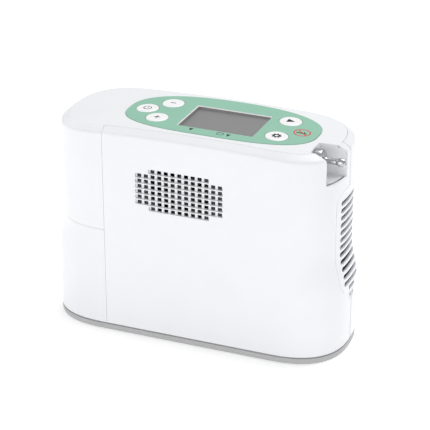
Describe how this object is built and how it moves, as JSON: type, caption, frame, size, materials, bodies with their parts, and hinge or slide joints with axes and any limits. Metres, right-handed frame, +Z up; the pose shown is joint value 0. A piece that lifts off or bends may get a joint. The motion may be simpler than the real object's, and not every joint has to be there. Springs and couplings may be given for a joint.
{
  "type": "oxygen concentrator",
  "caption": "Portable pulse-dose oxygen concentrator: white casing, slide-off battery, keys and screen on top, barbed outlet, fan grille and air inlet panel.",
  "frame": {"origin": "centre of the base, on the surface the unit stands on", "axes": "+X along the length towards the oxygen outlet, -Y the front with the fan grille, +Z up"},
  "size_m": [0.22, 0.0882, 0.1592],
  "materials": {
    "white_plastic": "satin moulded white",
    "key_white": "satin white keys",
    "grey_plastic": "fine matte grey",
    "green_film": "printed satin film",
    "screen_grey": "smooth screen window",
    "black_plastic": "matte black",
    "black_rubber": "matte",
    "foam": "open-cell foam",
    "chrome": "polished",
    "steel": "machined",
    "aluminium": "as drawn or cast",
    "board_green": "solder resist",
    "cell_sleeve": "shrink sleeve",
    "clear_tube": "clear silicone tube",
    "blue_plastic": "moulded manifold"
  },
  "bodies": {
    "unit": {"base_plate": "grey_plastic", "base_screw_1": "steel", "base_screw_2": "steel", "base_screw_3": "steel", "base_screw_4": "steel", "battery_dock": "black_plastic", "chassis": "black_plastic", "compressor_body": "aluminium", "compressor_cover": "aluminium", "compressor_head": "aluminium", "compressor_motor": "steel", "control_board": "board_green", "control_overlay": "green_film", "dc_socket": "black_plastic", "fan_frame": "black_plastic", "feed_tube": "clear_tube", "foot_1": "black_rubber", "foot_2": "black_rubber", "foot_3": "black_rubber", "foot_4": "black_rubber", "front_shell": "white_plastic", "intake_muffler": "black_plastic", "lcd_module": "black_plastic", "lcd_window": "screen_grey", "main_board": "board_green", "outlet_nozzle": "chrome", "outlet_well": "white_plastic", "oxygen_tank": "aluminium", "product_tube": "clear_tube", "rear_shell": "white_plastic", "sieve_bed_front": "aluminium", "sieve_bed_rear": "aluminium", "solenoid_valve_1": "steel", "solenoid_valve_2": "steel", "solenoid_valve_3": "steel", "top_cover": "white_plastic", "valve_manifold": "blue_plastic"},
    "battery": {"battery_case": "white_plastic", "battery_cell_1": "cell_sleeve", "battery_cell_2": "cell_sleeve", "battery_cell_3": "cell_sleeve", "battery_cell_4": "cell_sleeve", "battery_cell_5": "cell_sleeve", "battery_cell_6": "cell_sleeve", "battery_cell_7": "cell_sleeve", "battery_cell_8": "cell_sleeve", "battery_contacts": "black_plastic"},
    "battery_catch": {"battery_release": "grey_plastic"},
    "inlet_cover": {"side_vent": "white_plastic", "side_filter": "foam"},
    "fan_rotor": {"fan_rotor": "black_plastic"},
    "crank": {"crank": "steel"},
    "piston": {"piston": "aluminium"},
    "button_power": {"button_power": "key_white"},
    "button_minus": {"button_minus": "key_white"},
    "button_plus": {"button_plus": "key_white"},
    "button_alarm": {"button_alarm": "key_white"},
    "button_settings": {"button_settings": "key_white"}
  },
  "joints": [
    {"name": "battery_slide", "type": "slide", "parent": "unit", "child": "battery", "axis": [-1, 0, 0], "range_m": [0, 0.08]},
    {"name": "battery_catch_press", "type": "slide", "parent": "battery", "child": "battery_catch", "axis": [1, 0, 0], "range_m": [0, 0.002], "stiffness_N_per_m": 600},
    {"name": "inlet_cover_pull", "type": "slide", "parent": "unit", "child": "inlet_cover", "axis": [1, 0, 0], "range_m": [0, 0.03]},
    {"name": "fan_spin", "type": "hinge", "parent": "unit", "child": "fan_rotor", "pos_m": [-0.0029, -0.0363, 0.1161], "axis": [0, 1, 0], "continuous": true},
    {"name": "crank_spin", "type": "hinge", "parent": "unit", "child": "crank", "pos_m": [0.022, 0, 0.036], "axis": [1, 0, 0], "continuous": true},
    {"name": "piston_stroke", "type": "slide", "parent": "unit", "child": "piston", "axis": [0, 0, 1], "range_m": [-0.004, 0]},
    {"name": "button_power_press", "type": "slide", "parent": "unit", "child": "button_power", "axis": [0.0309, 0, -0.9995], "range_m": [0, 0.0007], "stiffness_N_per_m": 400},
    {"name": "button_minus_press", "type": "slide", "parent": "unit", "child": "button_minus", "axis": [0.0215, 0, -0.9998], "range_m": [0, 0.0007], "stiffness_N_per_m": 400},
    {"name": "button_plus_press", "type": "slide", "parent": "unit", "child": "button_plus", "axis": [0.0215, 0, -0.9998], "range_m": [0, 0.0007], "stiffness_N_per_m": 400},
    {"name": "button_alarm_press", "type": "slide", "parent": "unit", "child": "button_alarm", "axis": [-0.0394, 0, -0.9992], "range_m": [0, 0.0007], "stiffness_N_per_m": 400},
    {"name": "button_settings_press", "type": "slide", "parent": "unit", "child": "button_settings", "axis": [-0.0394, 0, -0.9992], "range_m": [0, 0.0007], "stiffness_N_per_m": 400}
  ]
}
